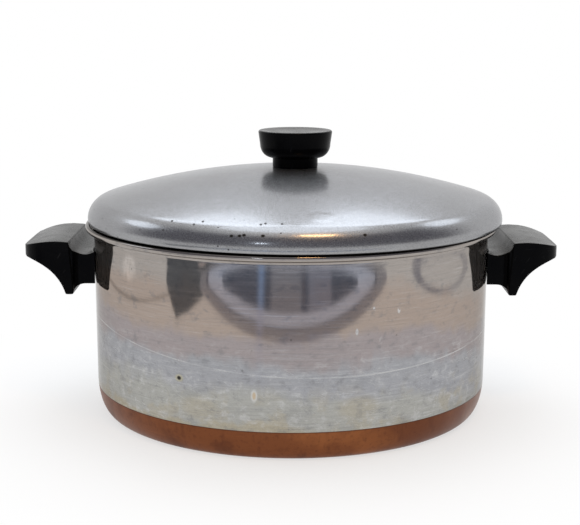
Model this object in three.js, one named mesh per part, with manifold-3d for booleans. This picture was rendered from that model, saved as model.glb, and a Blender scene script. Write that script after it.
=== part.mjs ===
// A drawn steel stockpot with a copper bottom, a domed lid and moulded handles.
// Millimetres, +Z up. The origin is on the table under the middle of the pot,
// and the two side handles lie along X.
import * as THREE from "three";
import { mergeVertices } from "three/addons/utils/BufferGeometryUtils.js";
import Module from "manifold-3d";

const wasm = await Module();
wasm.setup();

// Pot body
const bodyRadius = 120.7; // outside of the wall where the bottom corner ends
const wallFlare = 0.5; // how much wider the wall is under the rim
const rimHeight = 116;
const wallThickness = 1;
const floorThickness = 1.2;
const cornerReach = 8.3; // the bottom corner is a quarter ellipse, taller than it is wide
const cornerRise = 21.2;
const innerCornerReach = 10.5;
const innerCornerRise = 28;

// Copper bottom, a thin cup round the lowest part of the steel
const copperThickness = 0.6;
const copperHeight = 17.1;
const seatGap = 0.3; // clearance between curved faces that seat on each other

// Rim: the wall flares out through a cove to a rolled bead
const rimDepth = 5.7; // from the top of the bead down to the foot of the flare
const rimReach = 5.1; // outer edge of the bead beyond the wall
const beadRadius = 1.8;
const coveRadius = 2;
const coveTurn = (5 * Math.PI) / 12;
const beadStart = -0.62 * Math.PI; // where the flare's outside runs into the bead
const beadEnd = 0.8 * Math.PI; // where the bead runs into the flare's inside

// Lid: a domed sheet folded under at its edge, with a skirt that drops inside the mouth
const lidThickness = 0.9;
const lidOverhang = 0.7; // edge of the lid beyond the bead
const domeRadius = 404;
const shoulderRadius = 13;
const hemReach = 1.6; // the edge is folded under in a quarter ellipse, taller than it is wide
const hemRise = 2.6;
const skirtDepth = 8;
const skirtBend = 1.9; // outer radius of the bend from the ledge down into the skirt
const lidPlay = 2.8; // clearance of the skirt inside the mouth
const lidShift = 2.4; // the loose lid lies this far off centre, towards +X, within its play
const crownFlatRadius = 9; // pressed flat on which the knob's stud is welded

// Lid knob
const knobRadius = 22.6;
const knobHeight = 22.2;
const knobEdgeRadius = 1.2;
const knobDishDepth = 1;
const knobDishRadius = 18.5;
const knobTaper = 1;
const knobNeckRadius = 13.85;
const knobNeckHeight = 5.6;
const knobBowlRise = 8.1;
const knobBrim = 0.6; // flat under the bowl before the neck begins

// Welded stud and moulded-in nut that hold the knob
const studRadius = 2.1;
const studLength = 12;
const studFootRadius = 5;
const studFootThickness = 1;
const nutRadius = 4.5;
const nutLength = 10.5;
const threadGap = 0.3;
const footWell = 1.8; // depth of the recess in the knob over the stud's foot

// Side handle, measured from the wall outwards and from its ridge down
const handleWidth = 70;
const handleReach = 41.3;
const handleDrop = 9; // ridge below the rim
const ridgeReach = 11.8;
const finReach = 9.3;
const finDepth = 31.7;
const finTipWidth = 5;
const finTipRadius = 0.9;
const noseDepth = 9.8;
const noseDrop = 2.7;
const noseTopRadius = 3;
const noseUnderRadius = 1.6;
const crownSwell = 1.6; // height of the top's bulge over a straight line from ridge to nose
const gripHollowRadius = 30;
const wingBow = 2.4; // how far the ends of the outer edge fall back
const wingCornerRadius = 15;
const neckWidth = 60;
const neckDepth = 26;
const neckSideFillet = 4;
const underFilletReach = 7;
const underFilletFoot = 1.4; // height above the fin's tip where that fillet ends
const scoopReach = 9.2; // from the ridge in to the scoop's lowest line
const scoopDepth = 8.1; // the scoop's axis lies level with the ridge
const scoopEnd = -0.75 * Math.PI; // the scoop turns this far round, past the end of the neck
const handleGap = 0.5; // between the end of the neck and the wall

// Welded bracket in each handle
const bracketThickness = 1.6;
const bracketWidth = 34;
const bracketHeight = 9.5;
const bracketDepth = 21.4; // underside of the tongue below the ridge
const tongueReach = 12.4;
const tongueHoleRadius = 2.3;
const bracketClearance = 0.3;

// Handle screws and their moulded-in nuts
const screwReach = 5.8;
const screwSpacing = 24;
const screwRadius = 2;
const screwHeadRadius = 3.2;
const screwHeadHeight = 2.2;
const screwHeadEdge = 0.6;
const lipThickness = 2; // plastic between the screw head and the tongue's slot
const screwBoreGap = 0.3;
const handleNutRadius = 3;
const handleNutLength = 5.6;

// Facets
const bodySides = 60;
const knobSides = 40;
const fastenerSides = 12;
const arcSteps = 6;
const cornerSteps = 6;
const coveSteps = 4;
const beadSteps = 7;
const domeSteps = 5;
const shoulderSteps = 7;
const hemSteps = 4;
const bendSteps = 2;
const bowlSteps = 6;
const knobEdgeSteps = 4;
const weldTolerance = 1e-4;
const cutOverrun = 20; // how far cutting tools run past what they cut

// Derived places
const mouthRadius = bodyRadius + wallFlare;
const rimRadius = mouthRadius + rimReach;
const lidRadius = rimRadius + lidOverhang;
const ledgeHeight = rimHeight + seatGap;
const lidEdgeHeight = ledgeHeight + hemRise;
const skirtRadius = mouthRadius - wallThickness - lidPlay;
const floorHeight = copperThickness + seatGap + floorThickness;
const shoulderCentre = lidRadius - shoulderRadius;
const domeCentre =
  lidEdgeHeight - Math.sqrt((domeRadius - shoulderRadius) ** 2 - shoulderCentre ** 2);
const crownHeight = domeCentre + Math.sqrt(domeRadius ** 2 - crownFlatRadius ** 2);
const ridgeHeight = rimHeight - handleDrop;
const ridgeX = mouthRadius + ridgeReach;
const tongueHeight = ridgeHeight - bracketDepth;
const screwX = mouthRadius + screwReach;
const slotFloor = tongueHeight - bracketClearance;
const slotRoof = tongueHeight + bracketThickness + bracketClearance;
const headSeat = slotFloor - lipThickness;
const finX = mouthRadius + finReach;
const noseX = mouthRadius + handleReach;
const quarterTurn = Math.PI / 2;
const copperLineAngle = Math.asin(1 - copperHeight / cornerRise);
const steelLineAngle = Math.asin(1 - (copperHeight + seatGap) / cornerRise);

const steel = new THREE.MeshStandardMaterial({ color: 0xb4b0a8, roughness: 0.28, metalness: 1 });
const lidSteel = new THREE.MeshStandardMaterial({ color: 0xa9a9ad, roughness: 0.38, metalness: 1 });
const copper = new THREE.MeshStandardMaterial({ color: 0x8c5a3a, roughness: 0.42, metalness: 1 });
const phenolic = new THREE.MeshStandardMaterial({ color: 0x121214, roughness: 0.4, metalness: 0 });
const fastenerSteel = new THREE.MeshStandardMaterial({ color: 0xa0a2a6, roughness: 0.35, metalness: 1 });
const brass = new THREE.MeshStandardMaterial({ color: 0xb08d4a, roughness: 0.4, metalness: 1 });

function point(r, z) {
  return new THREE.Vector2(r, z);
}

// Points of an arc or a quarter ellipse, from one angle to another.
function arc(centreR, centreZ, radiusR, radiusZ, from, to, steps = arcSteps) {
  const points = [];
  for (let i = 0; i <= steps; i += 1) {
    const angle = from + ((to - from) * i) / steps;
    points.push(point(centreR + radiusR * Math.cos(angle), centreZ + radiusZ * Math.sin(angle)));
  }
  return points;
}

// A turned piece: the profile runs round its section and is closed on itself or on the axis.
function turned(profile, sides) {
  let area = 0;
  profile.forEach((p, i) => {
    const q = profile[(i + 1) % profile.length];
    area += p.x * q.y - q.x * p.y;
  });
  const outward = area > 0 ? profile.slice() : profile.slice().reverse();
  const ring = outward.some((p) => p.x === 0) ? outward : [...outward, outward[0].clone()];
  return new THREE.LatheGeometry(ring, sides).rotateX(Math.PI / 2);
}

function toSolid(geometry) {
  const bare = geometry.clone();
  bare.deleteAttribute("normal");
  bare.deleteAttribute("uv");
  const merged = mergeVertices(bare, weldTolerance);
  const triVerts = new Uint32Array(merged.index.array);
  const vertProperties = merged.attributes.position.array;
  return new wasm.Manifold(new wasm.Mesh({ numProp: 3, vertProperties, triVerts }));
}

function toGeometry(manifold) {
  const { vertProperties, triVerts } = manifold.getMesh();
  const geometry = new THREE.BufferGeometry();
  geometry.setAttribute("position", new THREE.BufferAttribute(vertProperties, 3));
  geometry.setIndex(new THREE.BufferAttribute(triVerts, 1));
  geometry.computeVertexNormals();
  return geometry;
}

// A closed outline whose corners are rounded by the radius each one names.
function roundedShape(corners) {
  const shape = new THREE.Shape();
  corners.forEach(({ at, radius = 0 }, i) => {
    const before = corners[(i + corners.length - 1) % corners.length].at;
    const after = corners[(i + 1) % corners.length].at;
    const back = before.clone().sub(at).normalize();
    const ahead = after.clone().sub(at).normalize();
    const halfAngle = Math.acos(back.dot(ahead)) / 2;
    const setback = radius / Math.tan(halfAngle);
    const enter = at.clone().addScaledVector(back, setback);
    const leave = at.clone().addScaledVector(ahead, setback);
    if (i === 0) shape.moveTo(enter.x, enter.y);
    else shape.lineTo(enter.x, enter.y);
    if (radius > 0) {
      const bisector = back.clone().add(ahead).normalize();
      const centre = at.clone().addScaledVector(bisector, radius / Math.sin(halfAngle));
      const from = enter.clone().sub(centre).angle();
      const to = leave.clone().sub(centre).angle();
      const turnsRight = back.cross(ahead) > 0;
      shape.absarc(centre.x, centre.y, radius, from, to, turnsRight);
    }
  });
  return shape;
}

// An outline seen from above, run up from the table to the rim.
function upright(shape) {
  const settings = { depth: rimHeight, bevelEnabled: false, curveSegments: arcSteps };
  return toSolid(new THREE.ExtrudeGeometry(shape, settings));
}

// A section drawn in X and Z, run across the handle along Y.
function across(shape, width) {
  const settings = { depth: width, bevelEnabled: false, curveSegments: arcSteps };
  const geometry = new THREE.ExtrudeGeometry(shape, settings);
  return toSolid(geometry.rotateX(Math.PI / 2).translate(0, width / 2, 0));
}

function rod(x, y, radius, bottom, top) {
  const geometry = new THREE.CylinderGeometry(radius, radius, top - bottom, fastenerSides);
  return toSolid(geometry.rotateX(Math.PI / 2).translate(x, y, (bottom + top) / 2));
}

// Outside of the bottom corner, set in by a depth along its own normal.
function cornerPoint(angle, inset) {
  const normal = point(cornerRise * Math.cos(angle), -cornerReach * Math.sin(angle)).normalize();
  return point(
    bodyRadius - cornerReach * (1 - Math.cos(angle)) - inset * normal.x,
    cornerRise * (1 - Math.sin(angle)) - inset * normal.y,
  );
}

function cornerArc(from, to, inset, steps) {
  return Array.from({ length: steps + 1 }, (_, i) => cornerPoint(from + ((to - from) * i) / steps, inset));
}

function potShell() {
  const flareFoot = rimHeight - rimDepth;
  const coveCentre = mouthRadius + coveRadius;
  const beadCentre = rimRadius - beadRadius;
  const innerRadius = coveRadius + wallThickness;
  const innerCornerTop = floorHeight + innerCornerRise;
  const profile = [
    point(0, copperThickness + seatGap),
    ...cornerArc(quarterTurn, steelLineAngle, copperThickness + seatGap, cornerSteps),
    ...cornerArc(steelLineAngle, 0, 0, 1),
    ...arc(coveCentre, flareFoot, -coveRadius, coveRadius, 0, coveTurn, coveSteps),
    ...arc(beadCentre, rimHeight - beadRadius, beadRadius, beadRadius, beadStart, beadEnd, beadSteps),
    ...arc(coveCentre, flareFoot, -innerRadius, innerRadius, coveTurn, 0, coveSteps),
    ...arc(
      bodyRadius - wallThickness - innerCornerReach,
      innerCornerTop,
      innerCornerReach,
      innerCornerRise,
      0,
      -quarterTurn,
      cornerSteps,
    ),
    point(0, floorHeight),
  ];
  return turned(profile, bodySides);
}

function copperBase() {
  const profile = [
    point(0, 0),
    ...cornerArc(quarterTurn, copperLineAngle, 0, cornerSteps),
    ...cornerArc(copperLineAngle, quarterTurn, copperThickness, cornerSteps),
    point(0, copperThickness),
  ];
  return turned(profile, bodySides);
}

function lidShell() {
  const crownAngle = Math.acos(crownFlatRadius / domeRadius);
  const edgeAngle = Math.acos(shoulderCentre / (domeRadius - shoulderRadius));
  const innerShoulder = shoulderRadius - lidThickness;
  const innerDome = domeRadius - lidThickness;
  const edgeZ = lidEdgeHeight;
  const hemCentre = lidRadius - hemReach;
  const bendInner = skirtBend - lidThickness;
  const skirtBottom = ledgeHeight - skirtDepth;
  const bendCentre = skirtRadius + bendInner;
  const bendZ = ledgeHeight - bendInner;
  const profile = [
    point(0, crownHeight),
    ...arc(0, domeCentre, domeRadius, domeRadius, crownAngle, edgeAngle, domeSteps),
    ...arc(shoulderCentre, edgeZ, shoulderRadius, shoulderRadius, edgeAngle, 0, shoulderSteps).slice(1),
    ...arc(hemCentre, edgeZ, hemReach, hemRise, 0, -quarterTurn, hemSteps).slice(1),
    ...arc(bendCentre, bendZ, bendInner, bendInner, quarterTurn, Math.PI, bendSteps),
    point(skirtRadius, skirtBottom),
    point(skirtRadius - lidThickness, skirtBottom),
    ...arc(bendCentre, bendZ, skirtBend, skirtBend, Math.PI, quarterTurn, bendSteps),
    point(hemCentre - lidThickness / 2, ledgeHeight + lidThickness),
    ...arc(shoulderCentre, edgeZ, innerShoulder, innerShoulder, 0, edgeAngle, shoulderSteps - 1),
    ...arc(0, domeCentre, innerDome, innerDome, edgeAngle, crownAngle, domeSteps - 1).slice(1),
    point(0, crownHeight - lidThickness),
  ];
  return turned(profile, bodySides);
}

function lidKnob() {
  const bottom = crownHeight + seatGap;
  const top = bottom + knobHeight;
  const bowlCentreZ = bottom + knobNeckHeight + knobBowlRise;
  const bowlCentreR = knobNeckRadius + knobBrim;
  const bowlReach = knobRadius - knobTaper - bowlCentreR;
  const edgeCentreR = knobRadius - knobEdgeRadius;
  const edgeCentreZ = top - knobEdgeRadius;
  const boreRadius = nutRadius + threadGap;
  const wellTop = bottom + footWell;
  const boreTop = wellTop + nutLength + 2 * threadGap;
  const profile = [
    point(0, boreTop),
    point(boreRadius, boreTop),
    point(boreRadius, wellTop),
    point(studFootRadius + 2 * threadGap, wellTop),
    point(studFootRadius + 2 * threadGap, bottom),
    point(knobNeckRadius, bottom),
    point(knobNeckRadius, bottom + knobNeckHeight),
    ...arc(bowlCentreR, bowlCentreZ, bowlReach, knobBowlRise, -quarterTurn, 0, bowlSteps),
    ...arc(edgeCentreR, edgeCentreZ, knobEdgeRadius, knobEdgeRadius, 0, quarterTurn, knobEdgeSteps),
    point(knobDishRadius, top - knobDishDepth / 2),
    point(knobDishRadius / 2, top - knobDishDepth),
    point(0, top - knobDishDepth),
  ];
  return turned(profile, knobSides);
}

function knobStud() {
  const footTop = crownHeight + studFootThickness;
  const profile = [
    point(0, crownHeight),
    point(studFootRadius, crownHeight),
    point(studFootRadius, footTop),
    point(studRadius, footTop),
    point(studRadius, footTop + studLength),
    point(0, footTop + studLength),
  ];
  return turned(profile, 2 * fastenerSides);
}

function knobNut() {
  const bottom = crownHeight + seatGap + footWell + threadGap;
  const profile = [
    point(studRadius + threadGap, bottom),
    point(nutRadius, bottom),
    point(nutRadius, bottom + nutLength),
    point(studRadius + threadGap, bottom + nutLength),
  ];
  return turned(profile, 2 * fastenerSides);
}

// The wing is the part a hand holds: a long top, a blunt nose and a hollow under it down to the fin.
function wingSection() {
  const finBottom = ridgeHeight - finDepth;
  const noseTop = ridgeHeight - noseDrop;
  const noseBottom = point(noseX - noseUnderRadius, ridgeHeight - noseDepth);
  const finOuter = point(finX + finTipWidth, finBottom + finTipRadius);
  const chord = finOuter.clone().sub(noseBottom);
  const middle = noseBottom.clone().addScaledVector(chord, 0.5);
  const away = point(-chord.y, chord.x).normalize();
  const centreOffset = Math.sqrt(gripHollowRadius ** 2 - chord.lengthSq() / 4);
  const centre = middle.addScaledVector(away, centreOffset);
  const from = noseBottom.clone().sub(centre).angle();
  const to = finOuter.clone().sub(centre).angle();
  const shape = new THREE.Shape();
  shape.moveTo(ridgeX, ridgeHeight);
  shape.lineTo(finX, finBottom + finTipRadius);
  shape.quadraticCurveTo(finX, finBottom, finX + finTipRadius, finBottom);
  shape.lineTo(finOuter.x - finTipRadius, finBottom);
  shape.quadraticCurveTo(finOuter.x, finBottom, finOuter.x, finOuter.y);
  shape.absarc(centre.x, centre.y, gripHollowRadius, to, from, true);
  shape.quadraticCurveTo(noseX, noseBottom.y, noseX, noseBottom.y + noseUnderRadius);
  shape.lineTo(noseX, noseTop - noseTopRadius);
  shape.quadraticCurveTo(noseX, noseTop, noseX - noseTopRadius, noseTop);
  const swellX = (ridgeX + noseX) / 2;
  shape.quadraticCurveTo(swellX, ridgeHeight - noseDrop / 2 + 2 * crownSwell, ridgeX, ridgeHeight);
  return shape;
}

function wingPlan() {
  const innerX = finX - finTipRadius;
  const half = handleWidth / 2;
  return roundedShape([
    { at: point(innerX, -half) },
    { at: point(noseX - wingBow, -half), radius: wingCornerRadius },
    { at: point(noseX, 0) },
    { at: point(noseX - wingBow, half), radius: wingCornerRadius },
    { at: point(innerX, half) },
  ]);
}

// The neck joins the wing to the wall. A scoop hollows its top and a fillet runs down into the fin.
function neckSection() {
  const bottom = ridgeHeight - neckDepth;
  const innerX = mouthRadius - cutOverrun;
  const filletX = finX - underFilletReach;
  const filletZ = ridgeHeight - finDepth + underFilletFoot;
  const shape = new THREE.Shape();
  shape.moveTo(innerX, bottom);
  shape.lineTo(filletX, bottom);
  shape.absellipse(filletX, filletZ, underFilletReach, bottom - filletZ, quarterTurn, 0, true);
  shape.lineTo(ridgeX, ridgeHeight - finDepth / 2);
  shape.lineTo(ridgeX, ridgeHeight);
  shape.absellipse(ridgeX - scoopReach, ridgeHeight, scoopReach, scoopDepth, 0, scoopEnd, true);
  shape.lineTo(innerX, ridgeHeight);
  return shape;
}

function neckPlan() {
  const innerX = mouthRadius - cutOverrun;
  const half = neckWidth / 2;
  const spread = half + neckSideFillet;
  const shape = new THREE.Shape();
  shape.moveTo(innerX, -half);
  shape.lineTo(finX - neckSideFillet, -half);
  shape.absarc(finX - neckSideFillet, -spread, neckSideFillet, quarterTurn, 0, true);
  shape.lineTo(ridgeX, -spread);
  shape.lineTo(ridgeX, spread);
  shape.lineTo(finX, spread);
  shape.absarc(finX - neckSideFillet, spread, neckSideFillet, 0, -quarterTurn, true);
  shape.lineTo(innerX, half);
  return shape;
}

// Room for the bracket: the tongue's slot and the pad's recess, turned about the pot's axis.
function bracketForm(clearance) {
  const inner = mouthRadius + seatGap - clearance;
  const padOuter = mouthRadius + seatGap + bracketThickness + clearance;
  const bottom = tongueHeight - clearance;
  const tongueTop = tongueHeight + bracketThickness + clearance;
  const padTop = tongueHeight + bracketHeight + clearance;
  const tip = mouthRadius + tongueReach + clearance;
  const profile = [
    point(inner, bottom),
    point(tip, bottom),
    point(tip, tongueTop),
    point(padOuter, tongueTop),
    point(padOuter, padTop),
    point(inner, padTop),
  ];
  const half = bracketWidth / 2 + clearance;
  const slab = new THREE.BoxGeometry(2 * lidRadius, 2 * half, 2 * rimHeight);
  slab.translate(lidRadius, 0, rimHeight);
  return toSolid(turned(profile, 2 * bodySides)).intersect(toSolid(slab));
}

function screwPlaces() {
  return [-screwSpacing / 2, screwSpacing / 2];
}

function sideBracket() {
  let bracket = bracketForm(0);
  for (const y of screwPlaces()) {
    bracket = bracket.subtract(rod(screwX, y, tongueHoleRadius, 0, rimHeight));
  }
  return toGeometry(bracket);
}

function sideHandle() {
  const wing = across(wingSection(), handleWidth).intersect(upright(wingPlan()));
  const neck = across(neckSection(), 2 * handleWidth).intersect(upright(neckPlan()));
  const wallCut = turned(
    [
      point(0, 0),
      point(mouthRadius + handleGap, 0),
      point(mouthRadius + handleGap, rimHeight),
      point(0, rimHeight),
    ],
    2 * bodySides,
  );
  let handle = wing.add(neck).subtract(toSolid(wallCut)).subtract(bracketForm(bracketClearance));
  const nutTop = slotRoof + handleNutLength + screwBoreGap;
  for (const y of screwPlaces()) {
    const head = rod(screwX, y, screwHeadRadius + screwBoreGap, headSeat - cutOverrun, headSeat);
    const shank = rod(screwX, y, screwRadius + screwBoreGap, headSeat - cutOverrun, slotRoof);
    const nut = rod(screwX, y, handleNutRadius + screwBoreGap, slotFloor, nutTop);
    handle = handle.subtract(head).subtract(shank).subtract(nut);
  }
  return toGeometry(handle);
}

function handleScrew() {
  const tip = slotRoof + handleNutLength;
  const headBottom = headSeat - screwHeadHeight;
  const profile = [
    point(0, headBottom),
    point(screwHeadRadius - screwHeadEdge, headBottom),
    point(screwHeadRadius, headBottom + screwHeadEdge),
    point(screwHeadRadius, headSeat),
    point(screwRadius, headSeat),
    point(screwRadius, tip),
    point(0, tip),
  ];
  return turned(profile, fastenerSides);
}

function handleNut() {
  const bore = screwRadius + screwBoreGap;
  const profile = [
    point(bore, slotRoof),
    point(handleNutRadius, slotRoof),
    point(handleNutRadius, slotRoof + handleNutLength),
    point(bore, slotRoof + handleNutLength),
  ];
  return turned(profile, fastenerSides);
}

function piece(name, geometry, material) {
  const mesh = new THREE.Mesh(geometry, material);
  mesh.name = name;
  return mesh;
}

// One handle with its bracket, screws and nuts, built on the +X side.
function handleAssembly(side) {
  const group = new THREE.Group();
  group.add(piece(`bracket_${side}`, sideBracket(), fastenerSteel));
  group.add(piece(`handle_${side}`, sideHandle(), phenolic));
  screwPlaces().forEach((y, i) => {
    const screw = piece(`handle_screw_${side}_${i + 1}`, handleScrew(), fastenerSteel);
    const nut = piece(`handle_nut_${side}_${i + 1}`, handleNut(), brass);
    screw.position.set(screwX, y, 0);
    nut.position.set(screwX, y, 0);
    group.add(screw, nut);
  });
  return group;
}

const stockpot = new THREE.Group();
stockpot.add(piece("pot_shell", potShell(), steel));
stockpot.add(piece("copper_base", copperBase(), copper));
const rightSide = handleAssembly("right");
const leftSide = handleAssembly("left");
leftSide.rotation.z = Math.PI;
stockpot.add(rightSide, leftSide);

const lid = new THREE.Group();
lid.position.x = lidShift;
lid.add(piece("lid_shell", lidShell(), lidSteel));
lid.add(piece("knob_stud", knobStud(), fastenerSteel));
lid.add(piece("knob_nut", knobNut(), brass));
lid.add(piece("lid_knob", lidKnob(), phenolic));
stockpot.add(lid);

export default stockpot;
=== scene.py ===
"""Dresses a drawn-steel stockpot with its copper bottom, lid and handles, and sets up a plain studio."""

import math

import bmesh
import bpy
from bpy.props import FloatProperty, FloatVectorProperty, IntProperty, PointerProperty
from mathutils import Matrix, Vector


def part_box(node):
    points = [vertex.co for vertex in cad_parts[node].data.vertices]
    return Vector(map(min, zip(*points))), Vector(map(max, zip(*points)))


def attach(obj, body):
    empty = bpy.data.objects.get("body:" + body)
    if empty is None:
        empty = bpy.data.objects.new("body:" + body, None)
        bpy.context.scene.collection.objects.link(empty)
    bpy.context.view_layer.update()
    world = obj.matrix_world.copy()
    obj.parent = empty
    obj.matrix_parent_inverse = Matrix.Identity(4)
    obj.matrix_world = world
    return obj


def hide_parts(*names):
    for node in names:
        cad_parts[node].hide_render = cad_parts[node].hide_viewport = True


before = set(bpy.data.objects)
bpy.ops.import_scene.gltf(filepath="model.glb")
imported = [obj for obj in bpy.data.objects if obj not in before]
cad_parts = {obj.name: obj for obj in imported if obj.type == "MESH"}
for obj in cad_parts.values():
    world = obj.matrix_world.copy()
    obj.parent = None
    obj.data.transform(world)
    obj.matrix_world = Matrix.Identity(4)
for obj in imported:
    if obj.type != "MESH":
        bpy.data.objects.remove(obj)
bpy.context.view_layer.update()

bl_info = {
    "name": "Stockpot",
    "version": (1, 0, 0),
    "blender": (4, 5, 0),
    "location": "3D View > Sidebar > Stockpot",
    "description": "Builds a stockpot with its lid, copper bottom and moulded handles, and a plain studio",
    "category": "Object",
}

MM = 0.001
WELD = 0.001 * MM
QUARTER_TURN = math.pi / 2
FULL_TURN = 2 * math.pi
KNOB_STEPS = 128

pot_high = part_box("pot_shell")[1]
copper_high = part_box("copper_base")[1]
lid_low, lid_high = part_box("lid_shell")
knob_low, knob_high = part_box("lid_knob")
grip_low, grip_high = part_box("handle_right")
bracket_low, bracket_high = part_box("bracket_right")
screw_low, screw_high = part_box("handle_screw_right_1")
other_screw_low, other_screw_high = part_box("handle_screw_right_2")
screw_x = (screw_low.x + screw_high.x) / 2
screw_rows = [(screw_low.y + screw_high.y) / 2, (other_screw_low.y + other_screw_high.y) / 2]
screw_head_radius = (screw_high.x - screw_low.x) / 2


def length(size, text, least=0.0):
    """A size in millimetres that a user may change."""
    return FloatProperty(description=text, default=size * MM, min=least * MM, unit="LENGTH", precision=5)


def count(number, least, highest, text):
    return IntProperty(description=text, default=number, min=least, max=highest)


def strength(value, text):
    return FloatProperty(description=text, default=value, min=0)


def angle(degrees, text):
    return FloatProperty(description=text, default=math.radians(degrees), subtype="ANGLE")


def colour(red, green, blue, text):
    return FloatVectorProperty(
        description=text, default=(red, green, blue), size=3, min=0, max=1, subtype="COLOR"
    )


class StockpotBodySizes(bpy.types.PropertyGroup):
    """Sizes of the steel body and its copper bottom"""

    wall_radius: length(120.7, "Outside of the wall where the bottom corner ends")
    mouth_radius: length(121.2, "Outside of the wall under the rim")
    wall_thickness: length(1, "Thickness of the steel wall")
    floor_height: length(2.1, "Inside floor above the table")
    rim_height: length(pot_high.z / MM, "Top of the rolled bead above the table")
    rim_radius: length(pot_high.x / MM, "Outer edge of the rolled bead")
    bead_radius: length(1.8, "Radius of the rolled bead")
    cove_radius: length(2, "Radius where the wall starts to flare out to the bead")
    flare_depth: length(5.7, "From the top of the bead down to the foot of the flare")
    corner_reach: length(8.3, "Width of the elliptical bottom corner")
    corner_rise: length(21.2, "Height of the elliptical bottom corner")
    inner_corner_reach: length(10.5, "Width of the corner inside the pot")
    inner_corner_rise: length(28, "Height of the corner inside the pot")
    copper_thickness: length(0.6, "Thickness of the copper layer")
    copper_height: length(copper_high.z / MM, "Upper edge of the copper above the table")
    copper_line: length(0.12, "Fine groove between the copper and the steel")
    around: count(240, 24, 720, "Steps of a full turn")


class StockpotLidSizes(bpy.types.PropertyGroup):
    """Sizes of the lid and its knob"""

    radius: length((lid_high.x - lid_low.x) / 2 / MM, "Outer edge of the lid")
    centre_x: length((lid_high.x + lid_low.x) / 2 / MM, "Where the loose lid lies along X", -10)
    thickness: length(0.9, "Thickness of the lid's sheet")
    ledge_height: length(116.3, "Underside of the ledge that rests on the bead")
    dome_radius: length(404, "Radius of the flat dome")
    shoulder_radius: length(13, "Radius of the rounded shoulder")
    hem_reach: length(1.6, "Width of the edge that is folded under")
    hem_rise: length(2.6, "Height of the edge that is folded under")
    skirt_radius: length(117.4, "Outside of the skirt that drops into the mouth")
    skirt_bend: length(1.9, "Outer radius of the bend from the ledge into the skirt")
    skirt_bottom: length(lid_low.z / MM, "Lower edge of the skirt above the table")
    crown_flat: length(9, "Radius of the pressed flat under the knob")
    knob_radius: length((knob_high.x - knob_low.x) / 2 / MM, "Widest part of the knob")
    knob_top: length(knob_high.z / MM, "Highest part of the knob above the table")
    knob_edge: length(1.2, "Rounding of the knob's upper edge")
    knob_dish_depth: length(1, "Depth of the dish in the knob's top")
    knob_dish_radius: length(18.5, "Radius of the dish in the knob's top")
    knob_taper: length(1, "How much the knob narrows down to its bowl")
    knob_neck_radius: length(13.85, "Radius of the knob's neck")
    knob_neck_height: length(5.6, "Height of the knob's neck")
    knob_bowl_rise: length(8.1, "Height of the rounded underside of the knob")
    knob_brim: length(0.6, "Flat between the neck and the bowl")
    knob_well_radius: length(5.6, "Recess in the neck over the foot of the stud")
    knob_well_depth: length(1.8, "Depth of that recess")
    knob_bore_radius: length(4.8, "Bore that holds the threaded insert")
    knob_bore_depth: length(11.1, "Depth of that bore")


class StockpotHandleSizes(bpy.types.PropertyGroup):
    """Sizes of the moulded side handles and their screws, measured from the pot's axis and from the table"""

    width: length((grip_high.y - grip_low.y) / MM, "Width of the grip")
    nose_x: length(grip_high.x / MM, "Outermost edge of the grip from the pot's axis")
    ridge_x: length(133, "Ridge between the scoop and the top of the grip")
    ridge_height: length(107, "Height of that ridge above the table")
    fin_x: length(130.5, "Inner face of the fin at its tip")
    fin_bottom: length(grip_low.z / MM, "Tip of the fin above the table")
    fin_width: length(5, "Thickness of the fin at its tip")
    nose_drop: length(2.7, "Top of the nose below the ridge")
    nose_depth: length(9.8, "Underside of the nose below the ridge")
    nose_under: length(1.6, "Rounding under the nose")
    nose_top: length(3, "Rounding over the nose")
    crown_swell: length(1.6, "Rise of the top over a straight line from ridge to nose")
    hollow_radius: length(30, "Radius of the hollow under the grip")
    bow: length(2.4, "How far the ends of the outer edge fall back")
    corner_radius: length(15, "Outer corners seen from above")
    neck_width: length(60, "Width of the neck between the grip and the wall")
    neck_bottom: length(81, "Underside of the neck above the table")
    neck_fillet: length(4, "Rounding where the neck's sides meet the grip")
    under_reach: length(7, "Width of the fillet between the neck and the fin")
    under_foot: length(1.4, "Height above the fin's tip where that fillet ends")
    scoop_reach: length(9.2, "From the ridge in to the lowest line of the scoop")
    scoop_depth: length(8.1, "Depth of the scoop in the neck's top")
    wall_gap: length(0.5, "Between the neck's end and the wall")
    slot_gap: length(0.3, "Clearance round the bracket")
    bore_gap: length(0.3, "Clearance round the screws")
    head_height: length(2.2, "Height of the screw heads")
    voxel: length(0.42, "Grid of the moulded skin")
    soften: count(5, 0, 40, "Smoothing passes on the moulded edges")


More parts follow.
